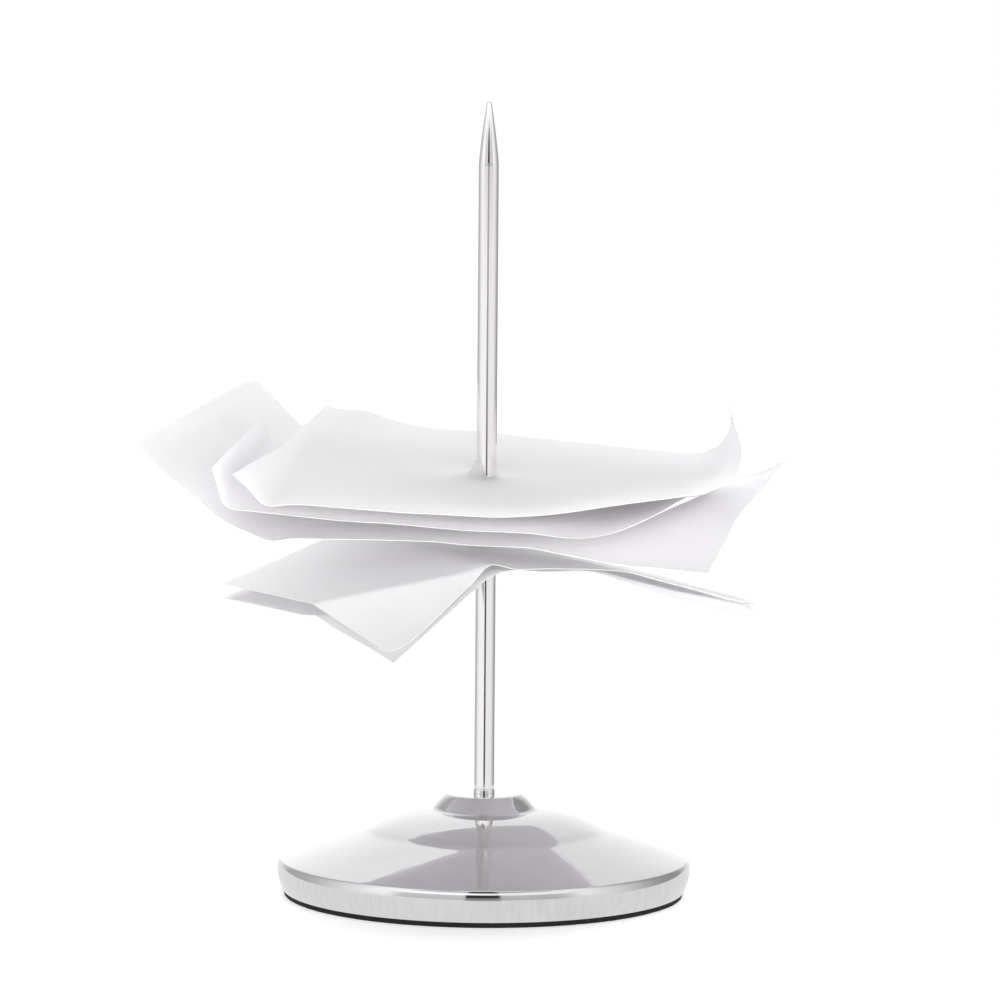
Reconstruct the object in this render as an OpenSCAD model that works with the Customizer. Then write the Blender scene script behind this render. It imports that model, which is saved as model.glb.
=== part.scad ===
/* [Base] */
// Largest diameter of the base
base_d = 85; // [76:1:94]
// Diameter of the crease between the two tiers
tier_d = 50; // [42:1:54]
// Diameter of the crease at the foot of the hub
hub_d = 21.4; // [19:0.2:26]
// Height of the wall up to the widest line
wall_h = 4.6; // [3:0.1:7]
// Height of the rim's crease above the widest line
rim_h = 1.8; // [1:0.1:3]
// Rise of the first tier
tier_rise = 5.7; // [4:0.1:9]
// Rise of the second tier
dome_rise = 4.3; // [3:0.1:6]
// Rise of the hub's sloping side
hub_rise = 2.6; // [2:0.1:5]
// Rise of the hub's rounded shoulder
shoulder_rise = 0.6; // [0.3:0.1:1]
// How far the foot of the wall draws in from the widest line
wall_draw = 1.3; // [0.6:0.1:2]
// How far the wall draws in from the widest line to the crease
rim_draw = 0.6; // [0.4:0.1:1.5]
// How far the hub's side draws in as it rises
hub_draw = 2.3; // [1:0.1:3]
// How far the hub's rounded shoulder draws in
hub_round = 1.4; // [0.8:0.1:2]
// Thickness of the pressed shell
shell_t = 0.8; // [0.5:0.1:1]
// Thickness of the foam pad
pad_t = 1.1; // [0.8:0.1:2]
// How far the pad stands back from the shell's edge
pad_inset = 0.2; // [0:0.1:1]

/* [Spike] */
// Diameter of the spike
rod_d = 4.2; // [3.6:0.1:5]
// Length of the spike above its collar
rod_length = 140.4; // [120:0.2:170]
// Length of the tapered point
point_length = 11.5; // [8:0.5:16]
// Diameter of the blunt tip
tip_d = 1; // [0.6:0.1:1.6]
// Wall that the collar stands out beyond the spike
collar_lip = 0.1; // [0.1:0.05:0.6]
// Height of the collar
collar_h = 0.9; // [0.7:0.1:3]

/* [Fixing] */
// Diameter of the spike's threaded tail
tail_d = 3; // [2.5:0.1:3.2]
// Width of the nut across its flats
nut_flats = 5.5; // [5:0.1:6.4]
// Height of the nut
nut_h = 2.4; // [2:0.1:2.6]
// Outside diameter of the flat washer
washer_d = 7; // [6:0.1:8]
// Thickness of the flat washer
washer_t = 0.5; // [0.4:0.05:0.6]
// Thickness of the split washer
spring_t = 0.7; // [0.5:0.05:0.8]

/* [Bills] */
// Width of the wide till slips
slip_w = 80; // [76:1:82]
// Width of the narrow till slip
narrow_w = 57; // [54:1:58]
// Thickness of a bill
bill_t = 0.3; // [0.2:0.05:0.35]
// Way from the lowest bill's left edge to its hole
bill_1_left = 43.5; // [40:0.5:47]
// Way from the second bill's left edge to its hole
bill_2_left = 43.5; // [40:0.5:47]
// Way from the third bill's left edge to its hole
bill_3_left = 68; // [62:0.5:72]
// Way from the fourth bill's left edge to its hole
bill_4_left = 53; // [48:0.5:55]
// Way from the top bill's left edge to its hole
bill_5_left = 43; // [40:0.5:47]
// Way from the lower pair's front edges to their holes
lower_front = 39.5; // [36:0.5:42]
// Way from the third bill's front edge to its hole
third_front = 37; // [34:0.5:40]
// Way from the fourth bill's front edge to its hole
fourth_front = 43; // [40:0.5:46]
// Way from the top bill's front edge to its hole
top_front = 44.5; // [41:0.5:47]
// Length of the lowest bill
bill_1_l = 84.5; // [80:0.5:90]
// Length of the second bill
bill_2_l = 88.5; // [84:0.5:92]
// Length of the third bill
bill_3_l = 122.5; // [110:0.5:130]
// Length of the fourth bill
bill_4_l = 102; // [90:0.5:110]
// Length of the top bill
bill_5_l = 96; // [88:0.5:104]
// Height of the lower pair of bills above the collar
lower_h = 48.6; // [44:0.2:50]
// Height of the upper three bills above the collar
upper_h = 62.8; // [62:0.2:70]
// Step from one bill to the next
bill_step = 1.2; // [1.1:0.1:1.6]
// Size of the bill's mesh squares
cell = 5; // [4.5:0.5:7]

/* [Clearances] */
// Radial clearance of a pierced hole on the spike
pierce_gap = 0.08; // [0.04:0.01:0.1]
// Radial clearance of the holes on the threaded tail
tail_gap = 0.1; // [0.05:0.01:0.2]
// Gap between the weight and the shell around it
weight_gap = 0.5; // [0.3:0.1:0.8]

/* [Hidden] */
$fn = 96;
arc_steps = 6;
rim_r = base_d / 2;
wall_r = rim_r - wall_draw;
pad_r = wall_r - pad_inset;
tail_r = tail_d / 2;
hole_r = tail_r + tail_gap;
collar_r = rod_d / 2 + collar_lip;
wide_z = pad_t + wall_h;
rim_z = wide_z + rim_h;
tier_z = rim_z + tier_rise;
hub_z = tier_z + dome_rise;
hub_edge_z = hub_z + hub_rise;
hub_top_z = hub_edge_z + shoulder_rise;
rod_z = hub_top_z + collar_h;
tip_z = rod_z + rod_length;
tail_z = pad_t + 0.6;
hub_r = hub_d / 2;
lower_z = rod_z + lower_h;
upper_z = rod_z + upper_h;
pocket_r = washer_d / 2 + 2;
washer_z = tail_z + 0.6 + nut_h + spring_t;
spring_z = washer_z - spring_t;
nut_z = spring_z - nut_h;
pocket_z = washer_z + washer_t;
boss_r = hub_r - 4;
boss_z = hub_top_z - shell_t;

// A run of points from p up to q, bulged outwards by sag at its middle
function bulge(p, q, sag) = [
  for (i = [0:arc_steps - 1])
    let (t = i / arc_steps, d = q - p)
      p + d * t + [d[1], -d[0]] / norm(d) * 4 * sag * t * (1 - t)
];

// The corners of the shell's outside, from the foot of its wall to the hole in the hub
shell_corners = [
  [wall_r, pad_t],
  [rim_r, wide_z],
  [rim_r - rim_draw, rim_z],
  [tier_d / 2, tier_z],
  [hub_r, hub_z],
  [hub_r - hub_draw, hub_edge_z],
  [hub_r - hub_draw - hub_round, hub_top_z],
  [hole_r, hub_top_z]
];

// How far each stretch between two corners bulges
shell_bulges = [0.25, 0.1, 0.25, 0.9, 0.05, 0.17, 0];

// A corner moved inwards by t, across the line through its neighbours
function inset(c, i, t) =
  let (a = c[max(i - 1, 0)], b = c[min(i + 1, len(c) - 1)], d = b - a)
    c[i] - [d[1], -d[0]] / norm(d) * t;

// The shell's run of points, moved inwards by t and standing on the pad
function shell_run(t) =
  let (
    last = len(shell_corners) - 1,
    c = [for (i = [0:last]) i == 0 ? [wall_r - t, pad_t] : inset(shell_corners, i, t)]
  )
    concat([for (i = [0:last - 1]) each bulge(c[i], c[i + 1], shell_bulges[i])], [c[last]]);

function backwards(path) = [for (i = [len(path) - 1:-1:0]) path[i]];

// Leans are turns about Y, then X, then Z
lean_1 = [0.3, 0.3, 25.5];
lean_2 = [3.6, 1.2, 25];
lean_3 = [3.1, 1, -15];
lean_4 = [3.7, 9.3, -10];
lean_5 = [4.1, 7.5, -12];

// Bends are [direction of the moved side, start, run, angle], outermost first
bends_5 = [[19, 45.5, 16, 114], [187, 38.5, 2.5, 34], [151, 31, 6, 8], [-27, 21.5, 12, 14]];
bends_4 = [[183, 44.5, 4.5, 72], [-15.5, 31.5, 15, 29]];
bends_3 = [[186, 36, 16.5, 43], [13, 47, 12, 32], [-49, 24.5, 17, -10], [-112, -21, 18, -10]];
bends_2 = [[0, 42.6, 1.2, -62], [-140, 38, 1.5, -26], [175, 11, 5.5, -24], [-3, 2, 19, -10]];
bends_1 = [[-85, 39.2, 1, -55], [-139, 38.5, 2, -23], [176, 10.5, 6.5, -22], [-7, -1, 17.5, -12.5]];

// One point carried round one bend
function bent_once(p, b) =
  let (
    c = cos(b[0]),
    s = sin(b[0]),
    d = p[0] * c + p[1] * s - b[1],
    r = b[2] * 180 / PI / b[3],
    t = min(max(d / b[2], 0), 1) * b[3],
    past = max(d - b[2], 0),
    x = d <= 0 ? d : (r - p[2]) * sin(t) + past * cos(t),
    z = d <= 0 ? p[2] : r - (r - p[2]) * cos(t) + past * sin(t)
  )
    [p[0] + c * (x - d), p[1] + s * (x - d), z];

// One point carried round every bend in turn
function bent(p, bends, i = 0) = i == len(bends) ? p : bent(bent_once(p, bends[i]), bends, i + 1);

// A slip of paper with its pierced point at the origin, left and front being the way to those edges
module slip(length, width, left, front, bends) {
  nu = ceil(length / cell);
  nv = ceil(width / cell);
  row = nv + 1;
  layer = (nu + 1) * row;
  points = [
    for (k = [0:1], i = [0:nu], j = [0:nv])
      bent([length * i / nu - left, width * j / nv - front, (k - 0.5) * bill_t], bends)
  ];
  tops = [
    for (i = [0:nu - 1], j = [0:nv - 1], half = [0:1])
      let (a = layer + i * row + j)
        half == 0 ? [a, a + 1, a + row + 1] : [a, a + row + 1, a + row]
  ];
  unders = [for (f = tops) [f[2] - layer, f[1] - layer, f[0] - layer]];
  ends = [
    for (j = [0:nv - 1], half = [0:3])
      let (a = j, b = nu * row + j)
        half == 0 ? [a, a + 1, a + 1 + layer] :
        half == 1 ? [a, a + 1 + layer, a + layer] :
        half == 2 ? [b, b + layer, b + 1 + layer] : [b, b + 1 + layer, b + 1]
  ];
  sides = [
    for (i = [0:nu - 1], half = [0:3])
      let (a = i * row, b = i * row + nv)
        half == 0 ? [a, a + layer, a + row + layer] :
        half == 1 ? [a, a + row + layer, a + row] :
        half == 2 ? [b, b + row, b + row + layer] : [b, b + row + layer, b + layer]
  ];
  polyhedron(points, concat(tops, unders, ends, sides));
}

// A slip set at its height and lean on the spike, with the hole that the spike made
module bill(length, width, left, front, lean, z, bends) {
  difference() {
    translate([0, 0, z])
      rotate([0, 0, lean[2]])
        rotate([lean[1], 0, 0])
          rotate([0, lean[0], 0])
            slip(length, width, left, front, bends);
    translate([0, 0, z - width / 2])
      cylinder(h = width, r = rod_d / 2 + pierce_gap, $fn = 24);
  }
}

module base_shell() {
  color("silver")
    rotate_extrude()
      polygon(concat(shell_run(0), backwards(shell_run(shell_t))));
}

module ballast_weight() {
  gap = shell_t + weight_gap;
  color("dimgray")
    difference() {
      union() {
        rotate_extrude()
          polygon(concat([[0, pad_t]], shell_run(gap), [[0, hub_top_z - gap]]));
        translate([0, 0, pad_t])
          cylinder(h = boss_z - pad_t, r = boss_r);
      }
      translate([0, 0, pad_t - 1])
        cylinder(h = pocket_z - pad_t + 1, r = pocket_r);
      cylinder(h = hub_top_z + 1, r = hole_r);
    }
}

module spike_rod() {
  color("silver")
    rotate_extrude()
      polygon([
        [0, tail_z],
        [tail_r - 0.3, tail_z],
        [tail_r, tail_z + 0.3],
        [tail_r, rod_z],
        [rod_d / 2, rod_z],
        [rod_d / 2, tip_z - point_length],
        [tip_d / 2, tip_z - tip_d * 0.35],
        [tip_d / 4, tip_z - tip_d * 0.08],
        [0, tip_z]
      ]);
}

module foot_collar() {
  color("silver")
    rotate_extrude()
      polygon([
        [hole_r, hub_top_z],
        [collar_r, hub_top_z],
        [collar_r, rod_z - 0.05],
        [collar_r - 0.05, rod_z],
        [hole_r, rod_z]
      ]);
}

module clamp_washer() {
  color("gainsboro")
    translate([0, 0, washer_z])
      difference() {
        cylinder(h = washer_t, d = washer_d);
        translate([0, 0, -1])
          cylinder(h = washer_t + 2, r = hole_r);
      }
}

module lock_washer() {
  color("gray")
    translate([0, 0, spring_z])
      difference() {
        cylinder(h = spring_t, d = nut_flats);
        translate([0, 0, -1])
          cylinder(h = spring_t + 2, r = hole_r);
        translate([0, -0.3, -1])
          cube([nut_flats, 0.6, spring_t + 2]);
      }
}

module hex_nut() {
  color("gainsboro")
    translate([0, 0, nut_z])
      difference() {
        cylinder(h = nut_h, d = nut_flats / cos(30), $fn = 6);
        translate([0, 0, -1])
          cylinder(h = nut_h + 2, r = tail_r + tail_gap / 2);
      }
}

module base_pad() {
  color("black")
    cylinder(h = pad_t, r = pad_r);
}

module bill_1() {
  color("white")
    bill(bill_1_l, slip_w, bill_1_left, lower_front, lean_1, lower_z, bends_1);
}

module bill_2() {
  color("white")
    bill(bill_2_l, slip_w, bill_2_left, lower_front, lean_2, lower_z + bill_step, bends_2);
}

module bill_3() {
  color("white")
    bill(bill_3_l, slip_w, bill_3_left, third_front, lean_3, upper_z, bends_3);
}

module bill_4() {
  color("white")
    bill(bill_4_l, narrow_w, bill_4_left, fourth_front, lean_4, upper_z + bill_step, bends_4);
}

module bill_5() {
  color("white")
    bill(bill_5_l, slip_w, bill_5_left, top_front, lean_5, upper_z + 2 * bill_step, bends_5);
}

base_shell();
ballast_weight();
spike_rod();
foot_collar();
clamp_washer();
lock_washer();
hex_nut();
base_pad();
bill_1();
bill_2();
bill_3();
bill_4();
bill_5();
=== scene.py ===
"""Looks of a bill spike: a chromed base and spike, and blank till slips speared on it."""

import logging
import math
from dataclasses import dataclass, field
from enum import Enum
from typing import Any, Callable, Mapping, Sequence, Union

import bpy
import numpy as np
from mathutils import Matrix, Vector
from mathutils.geometry import delaunay_2d_cdt


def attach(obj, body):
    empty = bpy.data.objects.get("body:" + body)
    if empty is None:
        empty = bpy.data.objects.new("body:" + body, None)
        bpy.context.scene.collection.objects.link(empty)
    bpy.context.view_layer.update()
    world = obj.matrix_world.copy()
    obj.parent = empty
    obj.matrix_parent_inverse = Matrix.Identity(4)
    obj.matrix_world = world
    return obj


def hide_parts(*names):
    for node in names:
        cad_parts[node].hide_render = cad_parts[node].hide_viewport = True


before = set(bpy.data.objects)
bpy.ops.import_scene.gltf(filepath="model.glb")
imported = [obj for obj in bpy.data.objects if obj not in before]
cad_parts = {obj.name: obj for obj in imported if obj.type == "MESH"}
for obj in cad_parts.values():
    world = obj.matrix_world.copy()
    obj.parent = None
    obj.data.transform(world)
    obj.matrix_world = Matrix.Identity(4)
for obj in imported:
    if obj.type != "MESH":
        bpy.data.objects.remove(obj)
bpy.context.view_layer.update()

MM = 0.001
TINY = 1e-5
NEAR = 1e-6
NO_LENGTH = 1e-12
CORNER_STEPS = 8
INSIDE_ONLY = 1
WHITE = (1.0, 1.0, 1.0, 1.0)
PHOTO_SIDE = 1000

Colour = tuple[float, float, float]
Triple = tuple[float, float, float]
Point = tuple[float, float]
Span = tuple[float, float]
Operand = Union["Wire", float]
Way = tuple["Wire", "Wire", "Wire"]
Inputs = Mapping[str | int, Any]
Rings = tuple[np.ndarray, np.ndarray]
Reshape = Callable[[np.ndarray, np.ndarray, np.ndarray], Rings]

log = logging.getLogger("bill_spike")


class Edge(Enum):
    """How one end of a slip came off its roll."""

    CUT = "cut"
    TORN = "torn"


class Coordinates(Enum):
    """The outputs of a Texture Coordinate node that the finishes use."""

    OBJECT = "Object"
    DIRECTION = "Generated"


# Node trees


class Wire:
    """One value in a node tree; Python's operators on it add Math nodes."""

    def __init__(self, web: "Web", socket: bpy.types.NodeSocket) -> None:
        """Keep the socket and the tree that it is in."""
        self.web = web
        self.socket = socket

    def _math(self, operation: str, first: Operand, second: Operand) -> "Wire":
        """Add one Math node and give its result."""
        node = self.web.node("ShaderNodeMath", {"operation": operation}, {0: first, 1: second})
        return self.web.wire(node)

    def __add__(self, other: Operand) -> "Wire":
        """This value plus another."""
        return self._math("ADD", self, other)

    __radd__ = __add__

    def __sub__(self, other: Operand) -> "Wire":
        """This value less another."""
        return self._math("SUBTRACT", self, other)

    def __rsub__(self, other: Operand) -> "Wire":
        """Another value less this one."""
        return self._math("SUBTRACT", other, self)

    def __mul__(self, other: Operand) -> "Wire":
        """This value times another."""
        return self._math("MULTIPLY", self, other)

    __rmul__ = __mul__

    def __truediv__(self, other: Operand) -> "Wire":
        """This value over another."""
        return self._math("DIVIDE", self, other)

    def __rtruediv__(self, other: Operand) -> "Wire":
        """Another value over this one."""
        return self._math("DIVIDE", other, self)

    def __pow__(self, other: Operand) -> "Wire":
        """This value to a power."""
        return self._math("POWER", self, other)

    def __rpow__(self, other: Operand) -> "Wire":
        """Another value to the power of this one."""
        return self._math("POWER", other, self)

    def between(self, low: float, high: float) -> "Wire":
        """A smooth step of this value.

        Args:
            low: the value at and below which the step is 0.
            high: the value at and above which the step is 1.

        Returns:
            The step, from 0 to 1.
        """
        settings = {"interpolation_type": "SMOOTHSTEP", "clamp": True}
        inputs = {"Value": self, "From Min": low, "From Max": high}
        return self.web.wire(self.web.node("ShaderNodeMapRange", settings, inputs))


class Web:
    """The node tree of one finish or of the studio's surroundings."""

    def __init__(self, tree: bpy.types.NodeTree) -> None:
        """Take over a tree and empty it."""
        self.tree = tree
        tree.nodes.clear()

    def node(
        self,
        kind: str,
        settings: Mapping[str, Any] | None = None,
        inputs: Inputs | None = None,
    ) -> bpy.types.Node:
        """Add one node.

        Args:
            kind: the node's type.
            settings: its properties, set first.
            inputs: the values or wires of its sockets, by name or number.

        Returns:
            The node.
        """
        made = self.tree.nodes.new(kind)
        for key, value in (settings or {}).items():
            setattr(made, key, value)
        for key, value in (inputs or {}).items():
            if isinstance(value, Wire):
                self.tree.links.new(value.socket, made.inputs[key])
            else:
                made.inputs[key].default_value = value
        return made

    def wire(self, node: bpy.types.Node, output: str | int = 0) -> Wire:
        """A node's output as a wire."""
        return Wire(self, node.outputs[output])

    def place(self, kind: Coordinates = Coordinates.OBJECT) -> Wire:
        """Where the shaded point is, or the way it is looked at for the surroundings."""
        return self.wire(self.node("ShaderNodeTexCoord"), kind.value)

    def split(self, vector: Wire) -> Way:
        """The three parts of a vector."""
        node = self.node("ShaderNodeSeparateXYZ", None, {0: vector})
        return self.wire(node, 0), self.wire(node, 1), self.wire(node, 2)

    def stretch(self, vector: Wire, scale: Triple) -> Wire:
        """A vector with each part scaled by its own number."""
        node = self.node("ShaderNodeVectorMath", {"operation": "MULTIPLY"}, {0: vector, 1: scale})
        return self.wire(node)

    def cells(self, where: Wire, per_metre: float) -> Wire:
        """The distance to the nearest of many scattered points, as foam cells have it."""
        inputs = {"Vector": where, "Scale": per_metre}
        return self.wire(self.node("ShaderNodeTexVoronoi", {"feature": "F1"}, inputs))

    def mix(self, share: Operand, first: Any, second: Any) -> Wire:
        """Two colours mixed.

        Args:
            share: how much of the second there is, from 0 to 1.
            first: a colour or a wire.
            second: a colour or a wire.

        Returns:
            The mixed colour.
        """
        settings = {"data_type": "RGBA", "clamp_factor": True}
        ends = [x if isinstance(x, Wire) else (*x, 1.0) for x in (first, second)]
        node = self.node("ShaderNodeMix", settings, {0: share, 6: ends[0], 7: ends[1]})
        return self.wire(node, 2)

    def bump(self, height: Wire, depth: float, strength: float = 1.0, under: Wire | None = None) -> Wire:
        """A normal that follows a height.

        Args:
            height: the height, from 0 to 1.
            depth: what 1 stands for, in millimetres.
            strength: how much of it shows.
            under: the normal that it lies on, if there is one.

        Returns:
            The normal.
        """
        inputs = {"Height": height, "Distance": depth * MM, "Strength": strength}
        if under is not None:
            inputs["Normal"] = under
        return self.wire(self.node("ShaderNodeBump", None, inputs))


@dataclass(frozen=True)
class Cloud:
    """A layer of cloudy noise: so many clouds per metre, all ways or along each axis, with finer layers.

    If it has a span, that part of its range is spread from 0 to 1.
    """

    per_metre: float | Triple
    detail: float = 3.0
    rough: float = 0.5
    span: Span | None = None

    def over(self, where: Wire) -> Wire:
        """Lay the noise over a surface.

        Args:
            where: the place that is shaded.

        Returns:
            The noise, from 0 to 1.
        """
        web, scale = where.web, self.per_metre
        if isinstance(scale, tuple):
            where, scale = web.stretch(where, scale), 1.0
        inputs = {"Vector": where, "Scale": scale, "Detail": self.detail, "Roughness": self.rough}
        noise = web.wire(web.node("ShaderNodeTexNoise", {"noise_dimensions": "3D"}, inputs))
        return noise if self.span is None else noise.between(*self.span)


# Finishes


@dataclass(frozen=True)
class Finish:
    """A finish: a name, and the shader that gives it."""

    name: str

    def surface(self, web: Web, where: Wire) -> Inputs:
        """Say what the surface is like; each kind of finish has its own.

        Args:
            web: the material's node tree.
            where: the shaded place.

        Returns:
            The inputs of its shader.
        """
        raise NotImplementedError

    def shader(self, web: Web) -> bpy.types.Node:
        """Build the surface's shader."""
        return web.node("ShaderNodeBsdfPrincipled", None, self.surface(web, web.place()))

    def material(self) -> bpy.types.Material:
        """Make the finish's material at its first use.

        Returns:
            The material.
        """
        made = bpy.data.materials.get(self.name)
        if made is None:
            made = bpy.data.materials.new(self.name)
            made.use_nodes = True
            web = Web(made.node_tree)
            surface = web.wire(self.shader(web))
            web.node("ShaderNodeOutputMaterial", None, {"Surface": surface})
        return made

    def dress(self, piece: bpy.types.Object) -> None:
        """Put the finish on a piece in place of what it wore."""
        piece.data.materials.clear()
        piece.data.materials.append(self.material())


@dataclass(frozen=True)
class MirrorChrome(Finish):
    """Polished plating with smudges, fine polishing lines and a hazier, streaked foot."""

    tint: Colour
    smudged: Colour
    gloss: float
    haze: float
    lines: Triple
    waviness: float
    hazy_below: float = 0.0
    foot_haze: float = 0.0
    foot_fade: float = 0.6
    foot_least: float = 0.5
    smudges: Cloud = Cloud(70.0, 4.0, 0.6, (0.48, 0.74))
    streaks: Cloud = Cloud((900.0, 900.0, 60.0), span=(0.35, 0.7))
    waves: Cloud = Cloud(110.0, 1.0)
    smudge_stain: float = 0.5
    streak_stain: float = 4.0
    line_haze: float = 0.35
    line_depth: float = 0.002
    line_strength: float = 0.4

    def surface(self, web: Web, where: Wire) -> Inputs:
        """Say what the plating is like.

        Args:
            web: the material's node tree.
            where: the shaded place.

        Returns:
            The inputs of its shader.
        """
        height = web.split(where)[2]
        smudge, streaks = self.smudges.over(where), self.streaks.over(where)
        wiped = Cloud(self.lines, 2.0).over(where)
        foot_top = self.hazy_below * MM
        foot = 1 - height.between(self.foot_fade * foot_top, foot_top + TINY)
        rough = self.gloss + self.haze * smudge + self.line_haze * self.haze * wiped
        rough = rough + foot * (self.foot_least + streaks) * self.foot_haze
        stain = smudge * self.smudge_stain + foot * streaks * min(1.0, self.streak_stain * self.foot_haze)
        wavy = web.bump(self.waves.over(where), self.waviness)
        return {
            "Base Color": web.mix(stain, self.tint, self.smudged),
            "Metallic": 1.0,
            "Roughness": rough,
            "Normal": web.bump(wiped, self.line_depth, self.line_strength, wavy),
        }


@dataclass(frozen=True)
class CastIron(Finish):
    """Rough cast metal with darker pits."""

    skin: Colour
    pits: Colour
    grains: Cloud = Cloud(900.0, 4.0, 0.65)
    grain_span: Span = (0.3, 0.6)
    patches: Cloud = Cloud(90.0, span=(0.35, 0.7))
    bare_metal: float = 0.6
    roughness: float = 0.55
    patch_roughness: float = 0.25
    pit_depth: float = 0.15
    pit_strength: float = 0.8

    def surface(self, web: Web, where: Wire) -> Inputs:
        """Say what the casting is like.

        Args:
            web: the material's node tree.
            where: the shaded place.

        Returns:
            The inputs of its shader.
        """
        grain = self.grains.over(where)
        return {
            "Base Color": web.mix(grain.between(*self.grain_span), self.pits, self.skin),
            "Metallic": self.bare_metal,
            "Roughness": self.roughness + self.patch_roughness * self.patches.over(where),
            "Normal": web.bump(grain, self.pit_depth, self.pit_strength),
        }


@dataclass(frozen=True)
class PlatedSteel(Finish):
    """Plated small hardware with turning marks and duller patches."""

    bright: Colour
    dull: Colour
    roughness: float
    patches: Cloud = Cloud(500.0, span=(0.4, 0.65))
    patch_roughness: float = 0.15
    marks: Cloud = Cloud((400.0, 400.0, 9000.0), 2.0)
    mark_roughness: float = 0.1
    mark_depth: float = 0.02
    mark_strength: float = 0.5

    def surface(self, web: Web, where: Wire) -> Inputs:
        """Say what the hardware is like.

        Args:
            web: the material's node tree.
            where: the shaded place.

        Returns:
            The inputs of its shader.
        """
        patches, marks = self.patches.over(where), self.marks.over(where)
        return {
            "Base Color": web.mix(patches, self.bright, self.dull),
            "Metallic": 1.0,
            "Roughness": self.roughness + self.patch_roughness * patches + self.mark_roughness * marks,
            "Normal": web.bump(marks, self.mark_depth, self.mark_strength),
        }


@dataclass(frozen=True)
class BlackFoam(Finish):
    """Closed-cell foam, cut at its edge, with a little dust."""

    body: Colour
    worn: Colour
    dust: Colour
    pores_per_metre: float = 2600.0
    pore_depth: float = 0.12
    pore_strength: float = 0.7
    patches: Cloud = Cloud(300.0, 4.0, 0.6, (0.4, 0.7))
    specks: Cloud = Cloud(1500.0, 2.0, 0.7, (0.68, 0.76))
    roughness: float = 0.75
    patch_roughness: float = 0.2
    shine: float = 0.3

    def surface(self, web: Web, where: Wire) -> Inputs:
        """Say what the foam is like.

        Args:
            web: the material's node tree.
            where: the shaded place.

        Returns:
            The inputs of its shader.
        """
        pores = web.cells(where, self.pores_per_metre)
        patches = self.patches.over(where)
        foam = web.mix(patches, self.body, self.worn)
        return {
            "Base Color": web.mix(self.specks.over(where), foam, self.dust),
            "Roughness": self.roughness + self.patch_roughness * patches,
            "Normal": web.bump(pores, self.pore_depth, self.pore_strength),
            "Specular IOR Level": self.shine,
        }


@dataclass(frozen=True)
class TillPaper(Finish):
    """White till paper: cloudy in its fibres, faintly cockled, and letting some light through."""

    sheet: Colour
    cloud: Colour
    passed: float
    clouds: Cloud = Cloud(380.0, 4.0, 0.6, (0.38, 0.7))
    cloud_share: float = 0.7
    fibres: Cloud = Cloud((2400.0, 5200.0, 3600.0), 3.0, 0.6)
    fibre_share: float = 0.3
    fibre_depth: float = 0.012
    fibre_strength: float = 0.5
    cockles: Cloud = Cloud(85.0, 2.0)
    cockle_depth: float = 0.25
    cockle_strength: float = 0.6
    roughness: float = 0.6
    fibre_roughness: float = 0.12
    shine: float = 0.3

    def surface(self, web: Web, where: Wire) -> Inputs:
        """Say what the paper is like.

        Args:
            web: the material's node tree.
            where: the shaded place.

        Returns:
            The inputs of its shader.
        """
        fibre = self.fibres.over(where)
        clouded = self.cloud_share * self.clouds.over(where) + self.fibre_share * fibre
        cockled = web.bump(self.cockles.over(where), self.cockle_depth, self.cockle_strength)
        return {
            "Base Color": web.mix(clouded, self.sheet, self.cloud),
            "Roughness": self.roughness + self.fibre_roughness * fibre,
            "Normal": web.bump(fibre, self.fibre_depth, self.fibre_strength, cockled),
            "Specular IOR Level": self.shine,
        }

    def shader(self, web: Web) -> bpy.types.Node:
        """Let part of the light through to the other side of the paper.

        Args:
            web: the material's node tree.

        Returns:
            The shader.
        """
        face = web.wire(super().shader(web))
        through = web.wire(web.node("ShaderNodeBsdfTranslucent", None, {"Color": (*self.sheet, 1.0)}))
        return web.node("ShaderNodeMixShader", None, {"Fac": self.passed, 1: face, 2: through})


BASE_CHROME = MirrorChrome(
    "base_plating", (0.74, 0.73, 0.745), (0.68, 0.67, 0.68),
    gloss=0.025, haze=0.05, lines=(300.0, 300.0, 6000.0), waviness=0.02, hazy_below=7.0, foot_haze=0.1,
)
SPIKE_CHROME = MirrorChrome(
    "spike_plating", (0.9, 0.885, 0.88), (0.84, 0.825, 0.82),
    gloss=0.05, haze=0.05, lines=(5000.0, 5000.0, 25.0), waviness=0.004,
)
COLLAR_CHROME = MirrorChrome(
    "collar_plating", (0.93, 0.92, 0.92), (0.84, 0.83, 0.83),
    gloss=0.06, haze=0.06, lines=(400.0, 400.0, 9000.0), waviness=0.004,
)
WEIGHT_IRON = CastIron("weight_casting", (0.09, 0.088, 0.085), (0.03, 0.029, 0.028))
ZINC_STEEL = PlatedSteel("zinc_hardware", (0.72, 0.73, 0.75), (0.5, 0.5, 0.52), 0.25)
SPRING_STEEL = PlatedSteel("spring_hardware", (0.42, 0.42, 0.43), (0.28, 0.28, 0.29), 0.3)
PAD_FOAM = BlackFoam("pad_foam", (0.017, 0.016, 0.018), (0.031, 0.03, 0.032), (0.26, 0.25, 0.25))
BILL_PAPER = TillPaper("bill_slip", (0.977, 0.968, 0.978), (0.962, 0.953, 0.963), passed=0.1)
# The top two slips' paper lets more light through and is also painted lighter than the rest: painted light
# that brightens their tops and front strips.
THIN_BRIGHTENED_PAPER = TillPaper("thin_painted_light_slip", (0.985, 0.977, 0.987), (0.972, 0.964, 0.974), passed=0.33)
# The middle slip's paper is painted a little lighter than the plain slip paper: painted light on its free
# ends.
SOFT_BRIGHTENED_PAPER = TillPaper("soft_painted_light_slip", (0.98, 0.971, 0.981), (0.965, 0.956, 0.966), passed=0.2)
# The lowest slip's paper is painted darker than the rest: painted shade that tones down its brightly lit
# front flap.
SHADED_PAPER = TillPaper("painted_shade_slip", (0.945, 0.938, 0.948), (0.93, 0.923, 0.933), passed=0.5)


# Mesh helpers


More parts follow.
